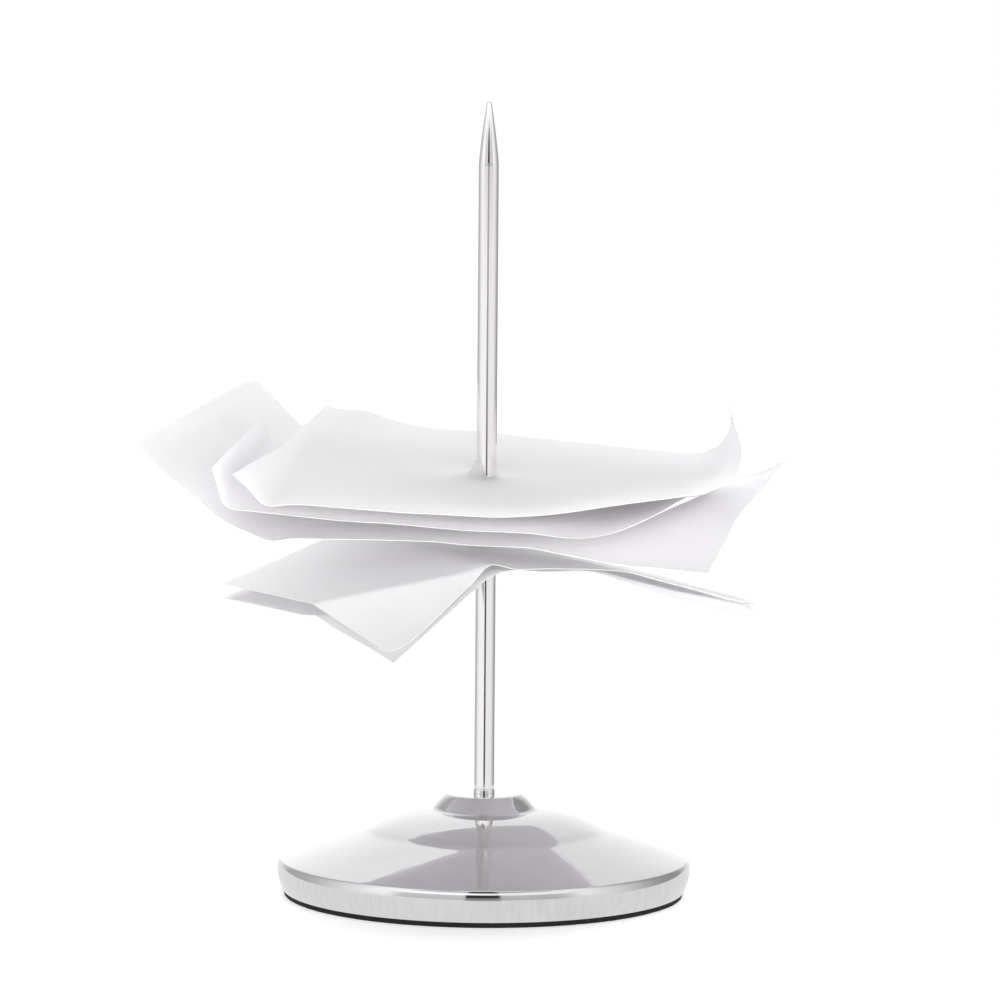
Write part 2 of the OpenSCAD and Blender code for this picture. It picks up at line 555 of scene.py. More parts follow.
def new_piece(
    name: str,
    points: np.ndarray,
    faces: Sequence[Sequence[int]],
    sharp_above: float,
) -> bpy.types.Object:
    """Make a mesh object.

    Args:
        name: the piece's name.
        points: its points, in millimetres.
        faces: the points of each face.
        sharp_above: the angle in degrees above which an edge stays crisp.

    Returns:
        The object, in the scene.
    """
    mesh = bpy.data.meshes.new(name)
    mesh.from_pydata((points * MM).tolist(), [], [list(map(int, f)) for f in faces])
    mesh.validate()
    mesh.update()
    mesh.shade_smooth()
    mesh.set_sharp_from_angle(angle=math.radians(sharp_above))
    piece = bpy.data.objects.new(name, mesh)
    bpy.context.scene.collection.objects.link(piece)
    return piece


def turned(
    name: str,
    run: Sequence[Point],
    segments: int,
    sharp_above: float,
    closed: bool = False,
    reshape: Reshape | None = None,
) -> bpy.types.Object:
    """Turn a run of points about the spike's axis.

    Args:
        name: the piece's name.
        run: radius and height of each point, in millimetres, anticlockwise with the axis at the left.
        segments: the number of steps round.
        sharp_above: the angle in degrees above which an edge stays crisp.
        closed: whether the run's end joins its start.
        reshape: gives new radii and heights from radii, heights and angles.

    Returns:
        The turned piece.
    """
    points: list[np.ndarray] = []
    rings: list[np.ndarray] = []
    angles = np.linspace(0.0, 2 * math.pi, segments, endpoint=False)
    for radius, height in run:
        count = 1 if radius < NEAR else segments
        r, z, a = np.full(count, radius), np.full(count, height), angles[:count]
        if reshape is not None and count > 1:
            r, z = reshape(r, z, a)
        start = sum(len(p) for p in points)
        points.append(np.stack([r * np.cos(a), r * np.sin(a), z], -1))
        rings.append(np.arange(start, start + count))
    faces: list[list[int]] = []
    pairs = list(zip(rings, rings[1:])) + ([(rings[-1], rings[0])] if closed else [])
    for low, high in pairs:
        for i in range(segments):
            j = (i + 1) % segments
            loop = [low[i % len(low)], low[j % len(low)], high[j % len(high)], high[i % len(high)]]
            corners = list(dict.fromkeys(loop))
            if len(corners) > 2:
                faces.append(corners)
    return new_piece(name, np.concatenate(points), faces, sharp_above)


def bulged(first: Point, last: Point, sag: float, steps: int) -> np.ndarray:
    """A stretch of a profile.

    Args:
        first: where it starts, as radius and height.
        last: where it ends.
        sag: how far it stands out at its middle.
        steps: how many steps it has.

    Returns:
        Its points, both ends included.
    """
    p, q = np.array(first), np.array(last)
    d = q - p
    t = np.linspace(0.0, 1.0, steps + 1)[:, None]
    out = np.array([d[1], -d[0]]) / np.hypot(*d)
    return p + d * t + out * 4 * sag * t * (1 - t)


def along(line: np.ndarray, distance: float) -> np.ndarray:
    """Find a place on a line.

    Args:
        line: the line's points.
        distance: how far along it the place is.

    Returns:
        The place.
    """
    steps = np.hypot(*np.diff(line, axis=0).T)
    total = np.concatenate([[0.0], np.cumsum(steps)])
    return np.array([np.interp(distance, total, line[:, k]) for k in (0, 1)])


def rounded(before: np.ndarray, corner: np.ndarray, after: np.ndarray, steps: int) -> list[np.ndarray]:
    """Round a corner off.

    Args:
        before: where the rounding starts.
        corner: the crisp corner.
        after: where the rounding ends.
        steps: how many steps it has.

    Returns:
        The points between its two ends.
    """
    inner = np.linspace(0.0, 1.0, steps + 1)[1:-1]
    return [(1 - t) ** 2 * before + 2 * t * (1 - t) * corner + t * t * after for t in inner]


def joined(stretches: Sequence[np.ndarray], rounds: Sequence[float]) -> list[Point]:
    """Join stretches of a profile with small rounded corners.

    Args:
        stretches: the stretches, each starting where the one before ends.
        rounds: for each corner between two, how far from it the rounding starts.

    Returns:
        The points of the whole run.
    """
    run: list[np.ndarray] = []
    for i, line in enumerate(stretches):
        steps = np.hypot(*np.diff(line, axis=0).T)
        start = rounds[i - 1] if i else 0.0
        stop = steps.sum() - (rounds[i] if i < len(rounds) else 0.0)
        total = np.concatenate([[0.0], np.cumsum(steps)])
        inner = line[(total > start + NEAR) & (total < stop - NEAR)]
        before = along(line, stop)
        run += [along(line, start), *inner, before]
        if i < len(rounds):
            run += rounded(before, line[-1], along(stretches[i + 1], rounds[i]), CORNER_STEPS)
    return [tuple(p) for p in run]


# Sub-assemblies


@dataclass
class Base:
    """The weighted base: pressed shell, foam pad, weight and the spike's fixing.

    The pad's edges are pairs: how far in from its rim, and how far from its face.
    """

    segments: int = 320
    steps: int = 18
    shell_t: float = 0.8
    corners: tuple[Point, ...] = (
        (41.2, 1.1), (42.5, 5.7), (41.9, 7.5), (25.0, 13.2), (10.7, 17.5),
        (8.4, 20.1), (7.0, 20.7), (1.6, 20.7),
    )
    bulges: tuple[float, ...] = (0.25, 0.1, 0.25, 0.9, 0.05, 0.17, 0.0)
    rounds: tuple[float, ...] = (1.4, 0.2, 1.2, 0.9, 0.8, 0.6)
    pad_r: float = 41.0
    pad_t: float = 1.1
    pad_segments: int = 720
    pad_rows: int = 6
    pad_under: tuple[float, ...] = (0.0, 12.0, 26.0, 36.0, 39.5)
    pad_over: tuple[float, ...] = (39.0, 26.0, 12.0, 0.0)
    pad_low_edge: tuple[Point, ...] = ((0.24, 0.0), (0.048, 0.05))
    pad_high_edge: tuple[Point, ...] = ((0.036, 0.03), (0.36, 0.0))
    pad_wall: Span = (0.2, 0.15)
    fray_seed: int = 7
    fray_waves: range = range(3, 150, 2)
    fray_phase: float = 6.28
    fray_fall: float = 0.4
    fray_slant: int = 5
    fray_reach: float = 1.0
    fray_run: float = 0.8
    fray_depth: float = 0.1
    fray_sway: float = 0.035
    fray_most: float = 0.35

    def build(self) -> list[bpy.types.Object]:
        """Make the base's pieces and dress the solids that stay.

        Returns:
            The new pieces.
        """
        self._dress_solids()
        return [self._shell(), self._pad()]

    def _inset(self, t: float) -> list[Point]:
        """Move the shell's corners inwards.

        Args:
            t: how far, in millimetres.

        Returns:
            The moved corners.
        """
        c = np.array(self.corners)
        moved = [np.array([c[0][0] - t, c[0][1]])]
        for i in range(1, len(c)):
            d = c[min(i + 1, len(c) - 1)] - c[i - 1]
            moved.append(c[i] - np.array([d[1], -d[0]]) / np.hypot(*d) * t)
        return [tuple(p) for p in moved]

    def _run(self, corners: Sequence[Point], rounds: Sequence[float]) -> list[Point]:
        """The run of the shell through its corners."""
        spans = zip(corners, corners[1:], self.bulges)
        return joined([bulged(p, q, sag, self.steps) for p, q, sag in spans], rounds)

    def _shell(self) -> bpy.types.Object:
        """Make the pressed and plated shell.

        Returns:
            The shell.
        """
        outside = self._run(self.corners, self.rounds)
        inside = self._run(self._inset(self.shell_t), [0.0] * len(self.rounds))
        piece = turned("shell", outside + inside[::-1], self.segments, sharp_above=40.0, closed=True)
        BASE_CHROME.dress(piece)
        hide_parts("base_shell")
        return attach(piece, "base")

    def _frayed(self) -> Reshape:
        """Draw how the pad's cut edge wanders.

        Returns:
            What moves the pad's rings in and out.
        """
        draw = np.random.default_rng(self.fray_seed)
        waves = [
            (n, draw.uniform(0, self.fray_phase), draw.normal() / n**self.fray_fall)
            for n in self.fray_waves
        ]

        def fray(radius: np.ndarray, height: np.ndarray, angle: np.ndarray) -> Rings:
            """Move one ring's points in and out.

            Args:
                radius: their radii.
                height: their heights.
                angle: their angles about the spike.

            Returns:
                The new radii and heights.
            """
            near = np.clip((radius - (self.pad_r - self.fray_reach)) / self.fray_run, 0, 1)
            slant = self.fray_slant * height / self.pad_t
            sway = sum(k * np.sin(n * angle + p + slant * (n % self.fray_slant)) for n, p, k in waves)
            depth = (self.fray_depth + self.fray_sway * sway).clip(0.0, self.fray_most)
            return radius - near * depth, height

        return fray

    def _pad(self) -> bpy.types.Object:
        """Make the foam pad with its roughly cut edge.

        Returns:
            The pad.
        """
        r, t = self.pad_r, self.pad_t
        low, high = self.pad_wall
        run = [(ring, 0.0) for ring in self.pad_under]
        run += [(r - inward, up) for inward, up in self.pad_low_edge]
        run += [(r, z) for z in np.linspace(low, t - high, self.pad_rows)]
        run += [(r - inward, t - down) for inward, down in self.pad_high_edge]
        run += [(ring, t) for ring in self.pad_over]
        piece = turned("pad", run, self.pad_segments, sharp_above=60.0, reshape=self._frayed())
        PAD_FOAM.dress(piece)
        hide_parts("base_pad")
        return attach(piece, "base")

    def _dress_solids(self) -> None:
        """Give the weight, the nut and the washers their finishes."""
        finishes: dict[str, Finish] = {
            "ballast_weight": WEIGHT_IRON,
            "clamp_washer": ZINC_STEEL,
            "hex_nut": ZINC_STEEL,
            "lock_washer": SPRING_STEEL,
        }
        for node, finish in finishes.items():
            finish.dress(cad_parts[node])
            log.info("dressed %s", node)


@dataclass
class Spike:
    """The spike with its point and threaded tail, and the collar at its foot.

    The tip's rounding is pairs: the share of the tip's radius, and how far below its end.
    """

    rod_r: float = 2.1
    tail_r: float = 1.5
    tail_z: float = 1.7
    foot_z: float = 21.6
    shoulder_z: float = 150.5
    tip_z: float = 162.0
    tip_r: float = 0.5
    collar_r: float = 2.2
    collar_z: float = 20.7
    collar_edge: float = 0.05
    bore_r: float = 1.6
    pitch: float = 0.5
    thread_depth: float = 0.12
    thread_rows: int = 6
    thread_start: float = 0.4
    thread_stop: float = 6.0
    thread_end: float = 5.5
    tail_edge: float = 0.3
    foot_edge: float = 0.12
    rod_rows: int = 90
    rod_ends: Span = (2.0, 1.6)
    point_lead: float = 1.0
    point_bulge: float = 0.12
    point_steps: int = 26
    tip_rounding: tuple[Point, ...] = ((1.0, 0.35), (0.9, 0.2), (0.62, 0.07), (0.3, 0.015), (0.0, 0.0))
    segments: int = 96

    def build(self) -> list[bpy.types.Object]:
        """Make the spike and its collar.

        Returns:
            The new pieces.
        """
        return [self._rod(), self._collar()]

    def _threaded(self, radius: np.ndarray, height: np.ndarray, angle: np.ndarray) -> Rings:
        """Cut the thread into the tail.

        Args:
            radius: the radii of one ring's points.
            height: their heights.
            angle: their angles about the spike.

        Returns:
            The new radii and heights.
        """
        above, below = self.tail_z + self.tail_edge, self.collar_z - self.thread_stop
        on_tail = (height > above) & (height < below) & (radius < self.rod_r - self.tail_edge)
        wave = np.abs(((height / self.pitch - angle / (2 * math.pi)) % 1.0) * 2 - 1)
        return np.where(on_tail, radius - self.thread_depth * wave, radius), height

    def _tail(self) -> list[Point]:
        """Draw the threaded tail.

        Returns:
            Its run, from its end up to the rod's foot.
        """
        r, low, edge = self.tail_r, self.tail_z, self.tail_edge
        high, step = self.collar_z - self.thread_stop, self.pitch / self.thread_rows
        rows = np.arange(low + self.thread_start, high, step)
        run = [(0.0, low), (r - edge, low), (r, low + edge), *((r, z) for z in rows)]
        return run + [(r, self.collar_z - self.thread_end), (r, self.foot_z)]

    def _rod(self) -> bpy.types.Object:
        """Make the rod with its drawn point, and the thread on its tail.

        Returns:
            The rod.
        """
        r, foot, edge = self.rod_r, self.foot_z, self.foot_edge
        start, stop = foot + self.rod_ends[0], self.shoulder_z - self.rod_ends[1]
        tip = [(share * self.tip_r, self.tip_z - down) for share, down in self.tip_rounding]
        point = bulged((r, self.shoulder_z - self.point_lead), tip[0], self.point_bulge, self.point_steps)
        run = self._tail() + [(r - edge, foot), (r, foot + edge)]
        run += [(r, z) for z in np.linspace(start, stop, self.rod_rows)]
        run += [tuple(p) for p in point] + tip[1:]
        piece = turned("spike", run, self.segments, sharp_above=35.0, reshape=self._threaded)
        SPIKE_CHROME.dress(piece)
        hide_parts("spike_rod")
        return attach(piece, "base")

    def _collar(self) -> bpy.types.Object:
        """Make the plain ring at the spike's foot.

        Returns:
            The collar.
        """
        c, low, high, edge = self.collar_r, self.collar_z, self.foot_z, self.collar_edge
        run = [(self.bore_r, low), (c - edge, low), (c, low + edge), (c, high - edge), (c - edge, high)]
        run += [(self.bore_r, high)]
        piece = turned("collar", run, self.segments, sharp_above=30.0, closed=True)
        COLLAR_CHROME.dress(piece)
        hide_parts("foot_collar")
        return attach(piece, "base")


@dataclass(frozen=True)
class Bend:
    """A straight roll of the paper: all that lies past a line turns about it.

    Attributes:
        toward: the way across the bend, in degrees from the slip's length.
        start: how far that way from the slip's middle it starts.
        run: how much paper the roll takes up.
        angle: how far it turns, in degrees, upwards if above 0.
    """

    toward: float
    start: float
    run: float
    angle: float

    def way(self) -> np.ndarray:
        """The direction across the bend."""
        return np.array([math.cos(math.radians(self.toward)), math.sin(math.radians(self.toward))])

    def carry(self, points: np.ndarray) -> np.ndarray:
        """Carry points round the bend.

        Args:
            points: places on the slip, the third number being the height off it.

        Returns:
            Where they come to lie.
        """
        n = self.way()
        theta = math.radians(self.angle)
        radius = self.run / theta
        s = points[:, :2] @ n - self.start
        h = points[:, 2]
        t = np.clip(s / self.run, 0, 1) * theta
        past = np.maximum(s - self.run, 0)
        x = np.where(s <= 0, s, (radius - h) * np.sin(t) + past * np.cos(t))
        z = np.where(s <= 0, h, radius - (radius - h) * np.cos(t) + past * np.sin(t))
        moved = points.copy()
        moved[:, :2] += n * (x - s)[:, None]
        moved[:, 2] = z
        return moved


@dataclass(frozen=True)
class Flap:
    """A torn lip of the hole that stands up against the spike."""

    places: tuple[Point, ...]

    def height(self, angle: np.ndarray) -> np.ndarray:
        """How high the lip stands at each angle in degrees about the spike."""
        a, h = zip(*self.places)
        return np.interp(angle % 360.0, a, h)


@dataclass(frozen=True)
class Swell:
    """A small rise or dip that handling left in a slip."""

    at: Point
    reach: Point
    lift: float

    def height(self, flat: np.ndarray) -> np.ndarray:
        """How far it lifts each place on the flat slip."""
        away = (flat - np.array(self.at)) / np.array(self.reach)
        return self.lift * np.exp(-(away**2).sum(1))


@dataclass(frozen=True)
class Handling:
    """The faint ripples that handling left: waves of mixed lengths, calm round the spike."""

    lift: float = 0.16
    waves: int = 9
    lengths: Span = (22.0, 60.0)
    usual: float = 40.0
    most: float = 1.6
    calm: Span = (4.0, 18.0)

    def height(self, flat: np.ndarray, away: np.ndarray, seed: int) -> np.ndarray:
        """Draw the ripples.

        Args:
            flat: places on the flat slip.
            away: how far each is from the spike.
            seed: the slip's own seed.

        Returns:
            How far each place is lifted.
        """
        draw = np.random.default_rng(seed)
        lift = np.zeros(len(flat))
        for _ in range(self.waves):
            way, phase = draw.uniform(0, math.pi), draw.uniform(0, 2 * math.pi)
            wave = draw.uniform(*self.lengths)
            n = np.array([math.cos(way), math.sin(way)])
            lift += draw.normal() * wave / self.usual * np.sin(flat @ n * 2 * math.pi / wave + phase)
        calm = np.clip((away - self.calm[0]) / self.calm[1], 0, 1)
        lift = (lift / self.waves**0.5).clip(-self.most, self.most)
        return lift * self.lift * calm * calm * (3 - 2 * calm)


@dataclass(frozen=True)
class Cutting:
    """How a slip is cut into small triangles, and how rough its ends and its hole are.

    The rows' places are in cells, the rings' in the hole's radii, and all else in millimetres.
    """

    cell: float = 1.25
    edge_share: float = 0.6
    edge_least: int = 8
    corner_step: float = 0.6
    torn: float = 0.1
    row_share: float = 0.866
    rows: Span = (0.7, 0.5)
    row_starts: Span = (1.2, 0.7)
    row_stop: float = 0.6
    margin: float = 0.45
    tight: float = 7.0
    tight_clear: float = 0.4
    tight_step: float = 0.45
    tight_reach: float = 110.0
    hole_steps: int = 72
    hole_rag: float = 0.05
    hole_rings: tuple[float, ...] = (1.06, 1.14, 1.25, 1.4, 1.6, 1.85, 2.2)
    hole_clear: float = 0.5
    hole_share: float = 0.999
    outline_seed: int = 100
    hole_seed: int = 300


@dataclass
class Bill:
    """One till slip, speared on the spike.

    Before it is bent it reaches left and front of its middle by so much. It leans about Y, X and Z, in
    degrees, its middle hangs at its height, and it dips round the spike where it is pressed down.
    """

    number: int
    length: float
    width: float
    left: float
    front: float
    lean: Triple
    height: float
    bends: tuple[Bend, ...]
    flap: Flap
    swells: tuple[Swell, ...] = ()
    ends: tuple[Edge, Edge] = (Edge.CUT, Edge.TORN)
    thickness: float = 0.08
    hole_r: float = 2.24
    lip_run: float = 0.9
    press: float = 0.0
    press_r: float = 12.0
    seed: int = 1
    on: str = "spike"
    paper: TillPaper = BILL_PAPER
    corner_rounds: tuple[float, float, float, float] = (0.4, 0.4, 0.4, 0.4)
    handling: Handling = Handling()
    cut: Cutting = Cutting()
    nudge: float = 0.01
    tries: int = 12
    centre: np.ndarray = field(default_factory=lambda: np.zeros(2))

    def build(self) -> bpy.types.Object:
        """Make the slip.

        Returns:
            The slip's piece.
        """
        self.centre = self._pierced_at()
        flat, faces = self._cut_out()
        middle = self._hang(np.column_stack([flat, self._ripples(flat)]))
        points, skin = self._thicken(self._raise_lips(middle), faces)
        piece = new_piece(f"slip_{self.number}", points, skin, sharp_above=50.0)
        self.paper.dress(piece)
        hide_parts(f"bill_{self.number}")
        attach(piece, f"bill_{self.number}")
        return piece

    def _hang(self, points: np.ndarray) -> np.ndarray:
        """Bend the slip and set it at its lean and height.

        Args:
            points: places on the flat slip, with their heights off it.

        Returns:
            Where they come to lie.
        """
        for bend in self.bends:
            points = bend.carry(points)
        y, x, z = (math.radians(a) for a in self.lean)
        turn = Matrix.Rotation(z, 3, "Z") @ Matrix.Rotation(x, 3, "X") @ Matrix.Rotation(y, 3, "Y")
        return points @ np.array(turn).T + np.array([0.0, 0.0, self.height])

    def _pierced_at(self) -> np.ndarray:
        """Find the place on the flat slip that comes to lie on the spike's axis.

        Returns:
            The place.
        """
        place, nudge = np.zeros(2), self.nudge
        for _ in range(self.tries):
            trial = np.array([place, place + [nudge, 0], place + [0, nudge]])
            at = self._hang(np.column_stack([trial, np.zeros(3)]))[:, :2]
            slope = np.column_stack([(at[1] - at[0]) / nudge, (at[2] - at[0]) / nudge])
            place = place - np.linalg.solve(slope, at[0])
        return place

    def _outline(self) -> np.ndarray:
        """Draw the slip's edge.

        Returns:
            Its points, anticlockwise from the front left corner.
        """
        x0, y0 = -self.left, -self.front
        x1, y1 = x0 + self.length, y0 + self.width
        corners = [np.array(p) for p in ((x0, y0), (x1, y0), (x1, y1), (x0, y1))]
        kinds = (Edge.CUT, self.ends[1], Edge.CUT, self.ends[0])
        draw = np.random.default_rng(self.cut.outline_seed + self.seed)
        line: list[np.ndarray] = []
        for i, kind in enumerate(kinds):
            a, b, c = (corners[(i + k) % 4] for k in range(3))
            first, last = self.corner_rounds[i], self.corner_rounds[(i + 1) % 4]
            span = np.hypot(*(b - a))
            d, e = (b - a) / span, (c - b) / np.hypot(*(c - b))
            inward = np.array([-d[1], d[0]])
            step = self.cut.cell * self.cut.edge_share
            count = max(self.cut.edge_least, int(round((span - first - last) / step)))
            depth = np.zeros(count + 1)
            if kind is Edge.TORN:
                depth = self.cut.torn * np.abs(draw.normal(size=count + 1))
            depth[0] = depth[-1] = 0.0
            places = np.linspace(first, span - last, count + 1)
            line += [a + d * s + inward * k for s, k in zip(places, depth)]
            line += rounded(b - d * last, b, b + e * last, max(3, int(last / self.cut.corner_step)))
        return np.array(line)

    def _hole(self) -> np.ndarray:
        """Draw the ragged hole round the spike.

        Returns:
            Its points on the flat slip.
        """
        count = self.cut.hole_steps
        draw = np.random.default_rng(self.cut.hole_seed + self.seed)
        angle = np.linspace(0, 2 * math.pi, count, endpoint=False)
        radius = self.hole_r + self.cut.hole_rag * np.abs(draw.normal(size=count))
        return self.centre + np.column_stack([radius * np.cos(angle), radius * np.sin(angle)])

    def _spread(self, low: np.ndarray, high: np.ndarray) -> np.ndarray:
        """Spread points evenly over the slip, in staggered rows.

        Args:
            low: the slip's front left corner.
            high: its back right corner.

        Returns:
            The points.
        """
        cut, rows = self.cut, []
        step = cut.cell * cut.row_share
        heights = np.arange(low[1] + cut.rows[0] * step, high[1] - cut.rows[1] * step, step)
        for k, y in enumerate(heights):
            start = low[0] + cut.row_starts[k % 2] * cut.cell
            x = np.arange(start, high[0] - cut.row_stop * cut.cell, cut.cell)
            rows.append(np.column_stack([x, np.full(len(x), y)]))
        return np.concatenate(rows)

    def _closer(self, points: np.ndarray, bend: Bend) -> np.ndarray:
        """Lay close rows of points along a tight bend, in place of those that lie there.

        Args:
            points: the points so far.
            bend: the bend.

        Returns:
            The points with those rows.
        """
        cut, n = self.cut, bend.way()
        past = points @ n - bend.start
        kept = points[(past < -cut.tight_clear) | (past > bend.run + cut.tight_clear)]
        reach = np.arange(-cut.tight_reach, cut.tight_reach, cut.cell)[:, None]
        steps = np.linspace(0.0, bend.run, max(3, int(bend.run / cut.tight_step)) + 1)
        rows = [n * (bend.start + s) + np.array([-n[1], n[0]]) * reach for s in steps]
        return np.concatenate([kept, *rows])

    def _inner(self, outline: np.ndarray, hole: np.ndarray) -> np.ndarray:
        """Lay points inside the slip, closer along tight bends and round the hole.

        Args:
            outline: the slip's edge.
            hole: the hole's edge.

        Returns:
            The points.
        """
        cut = self.cut
        points = self._spread(outline.min(0), outline.max(0))
        for bend in (b for b in self.bends if b.run < cut.tight):
            points = self._closer(points, bend)
        away = np.hypot(*(points - self.centre).T) > self.hole_r * cut.hole_rings[-1] + cut.hole_clear
        spokes = hole - self.centre
        rings = [self.centre + spokes[k % 2 :: 2] * size for k, size in enumerate(cut.hole_rings)]
        return np.concatenate([points[self._clear_of(points, outline) & away], *rings])

    def _clear_of(self, points: np.ndarray, outline: np.ndarray) -> np.ndarray:
        """Find the points that lie inside the outline and a little clear of it.

        Args:
            points: the points.
            outline: the slip's edge.

        Returns:
            Whether each one does.
        """
        low, high = outline.min(0) + self.cut.margin, outline.max(0) - self.cut.margin
        clear = ((points > low) & (points < high)).all(1)
        corners = ((low[0], low[1]), (high[0], low[1]), (high[0], high[1]), (low[0], high[1]))
        inwards = ((1, 1), (-1, 1), (-1, -1), (1, -1))
        for size, corner, inward in zip(self.corner_rounds, corners, inwards):
            clear &= ((points - corner) * np.array(inward)).sum(1) > size
        return clear

    def _cut_out(self) -> tuple[np.ndarray, np.ndarray]:
        """Cut the flat slip into small triangles.

        Returns:
            Its flat points and its triangles.
        """
        outline, hole = self._outline(), self._hole()
        inner = self._inner(outline, hole)
        points = np.concatenate([outline, hole, inner])
        n, m = len(outline), len(hole)
        edges = [(i, (i + 1) % n) for i in range(n)] + [(n + i, n + (i + 1) % m) for i in range(m)]
        made = delaunay_2d_cdt([Vector(p) for p in points], edges, [], INSIDE_ONLY, TINY)
        flat = np.array([tuple(p) for p in made[0]])
        faces = np.array([f for f in made[2] if len(f) == 3])
        middle = flat[faces].mean(1) - self.centre
        faces = faces[np.hypot(*middle.T) > self.hole_r * self.cut.hole_share]
        used = np.unique(faces)
        back = np.full(len(flat), -1)
        back[used] = np.arange(len(used))
        return flat[used], back[faces]

    def _ripples(self, flat: np.ndarray) -> np.ndarray:
        """Lift the flat slip off its smooth bends.

        Args:
            flat: places on the flat slip.

        Returns:
            How far each is lifted.
        """
        away = np.hypot(*(flat - self.centre).T)
        lift = self.handling.height(flat, away, self.seed)
        lift += sum(swell.height(flat) for swell in self.swells)
        return lift - self.press * np.exp(-((away / self.press_r) ** 2))

    def _raise_lips(self, points: np.ndarray) -> np.ndarray:
        """Lift the paper that the spike tore, so that its lips stand against the spike.

        Args:
            points: the hung slip's points.

        Returns:
            The points with the lips raised.
        """
        angle = np.degrees(np.arctan2(points[:, 1], points[:, 0]))
        away = np.maximum(np.hypot(points[:, 0], points[:, 1]) - self.hole_r, 0.0)
        raised = points.copy()
        raised[:, 2] += self.flap.height(angle) * np.exp(-away / self.lip_run)
        return raised

    def _thicken(self, middle: np.ndarray, faces: np.ndarray) -> tuple[np.ndarray, list[Sequence[int]]]:
        """Give the slip its two sides and its edge.

        Args:
            middle: the points of the slip's middle.
            faces: its triangles.

        Returns:
            The points and faces of the closed slip.
        """
        a, b, c = (middle[faces[:, k]] for k in range(3))
        across = np.cross(b - a, c - a)
        normal = np.zeros_like(middle)
        for k in range(3):
            np.add.at(normal, faces[:, k], across)
        normal /= np.maximum(np.linalg.norm(normal, axis=1), NO_LENGTH)[:, None]
        half = normal * self.thickness / 2
        count = len(middle)
        points = np.concatenate([middle + half, middle - half])
        skin: list[Sequence[int]] = [tuple(f) for f in faces]
        skin += [tuple(f[::-1] + count) for f in faces]
        loops = np.concatenate([faces[:, [0, 1]], faces[:, [1, 2]], faces[:, [2, 0]]])
        known = {tuple(e) for e in loops}
        for i, j in known:
            if (j, i) not in known:
                skin.append((j, i, i + count, j + count))
        return points, skin


# Studio


@dataclass(frozen=True)
class Stretch:
    """A paler or darker stretch of the tent, and the spans in which it fades in and out.

    Round the tent, -1 is straight ahead and 1 straight back; upwards, 0 is level and 1 straight up.
    """

    amount: float
    round_in: Span | None = None
    round_out: Span | None = None
    up_in: Span | None = None
    up_out: Span | None = None

    def share(self, back: Wire, up: Wire) -> Wire:
        """How much of the stretch there is in one direction.

        Args:
            back: how far round the direction lies.
            up: how far up it points.

        Returns:
            The amount there.
        """
        share: Operand = self.amount
        fades = ((back, self.round_in, self.round_out), (up, self.up_in, self.up_out))
        for value, fade_in, fade_out in fades:
            if fade_in is not None:
                share = value.between(*fade_in) * share
            if fade_out is not None:
                share = (1 - value.between(*fade_out)) * share
        return share


@dataclass(frozen=True)
class MirrorTent:
    """The white tent that the plating mirrors, with a narrow dark slit ahead.

    The slit's steps give how much darker it gets upwards, and where.
    """

    side_gap: Stretch = Stretch(0.5, (-0.4, 0.6), (0.72, 0.97), None, (0.75, 0.95))
    gains: tuple[Stretch, ...] = (
        Stretch(0.3, round_in=(0.94, 0.97), up_out=(-0.05, 0.65)),
        Stretch(0.18, round_out=(-0.5, -0.25), up_in=(-0.05, 0.15)),
        Stretch(0.15, round_out=(-0.75, -0.55), up_in=(0.25, 0.35)),
    )
    losses: tuple[Stretch, ...] = (
        Stretch(0.4, None, (-0.75, -0.55), (-0.04, 0.02), (0.2, 0.32)),
        Stretch(0.55, None, (-0.75, -0.55), (0.6, 0.7), (0.88, 0.96)),
    )
    slit_out: Span = (-0.988, -0.984)
    slit_foot: float = 0.9
    slit_steps: tuple[tuple[float, Span], ...] = (
        (-0.4, (-0.1, -0.02)), (0.45, (0.06, 0.14)), (-0.95, (0.24, 0.32)),
        (0.95, (0.55, 0.62)), (-0.95, (0.88, 0.96)),
    )
    right_in: Span = (-0.2, 0.2)
    right_gap: float = 0.2
    right_loss: float = 0.1
    least_reach: float = 1e-4

    def brightness(self, way: Way) -> Wire:
        """How bright the tent is in one direction.

        Args:
            way: how far the direction points right, back and up.

        Returns:
            The brightness.
        """
        x, y, z = way
        around = (x * x + y * y) ** 0.5 + self.least_reach
        back = y / around
        right = (x / around).between(*self.right_in)
        lit = 1 - self.side_gap.share(back, z) * (1 + self.right_gap * right)
        for gain in self.gains:
            lit = lit + gain.share(back, z)
        for loss in self.losses:
            lit = lit * (1 - loss.share(back, z))
        slit: Operand = self.slit_foot
        for change, span in self.slit_steps:
            slit = slit + change * z.between(*span)
        slit = slit * (1 - back.between(*self.slit_out))
        return lit * (1 - slit) * (1 - self.right_loss * right)


@dataclass(frozen=True)
class SoftLight:
    """The soft light on the surfaces: from ahead, from behind and from the sweep below.

    Behind it grows upwards and leans to the right, and a band ahead adds to it about the horizon.
    """

    front: float = 0.76
    backdrop: float = 1.9
    high_back: float = 3.6
    right_lean: float = 0.4
    low_round: float = 0.5
    sweep: float = 3.15
    low_front: float = 1.1
    quarter: Span = (0.0, 1.0)
    horizon: Span = (-0.05, 0.05)
    sweep_from: Span = (-0.2, 0.6)
    band_low: Span = (-0.35, -0.2)
    band_top: Span = (0.3, 0.45)

    def level(self, way: Way) -> Wire:
        """How strong the light is from one direction.

        Args:
            way: how far the direction points right, back and up.

        Returns:
            The strength.
        """
        x, y, z = way
        ahead = (0 - y).between(*self.quarter)
        behind = (self.backdrop + self.high_back * z.between(*self.quarter)) * y.between(*self.quarter)
        upper = self.front * ahead + behind * (1 + self.right_lean * x)
        lower = self.low_round + (self.sweep - self.low_round) * (0 - y).between(*self.sweep_from)
        level = lower + (upper - lower) * z.between(*self.horizon)
        return level + self.low_front * ahead * (z.between(*self.band_low) - z.between(*self.band_top))


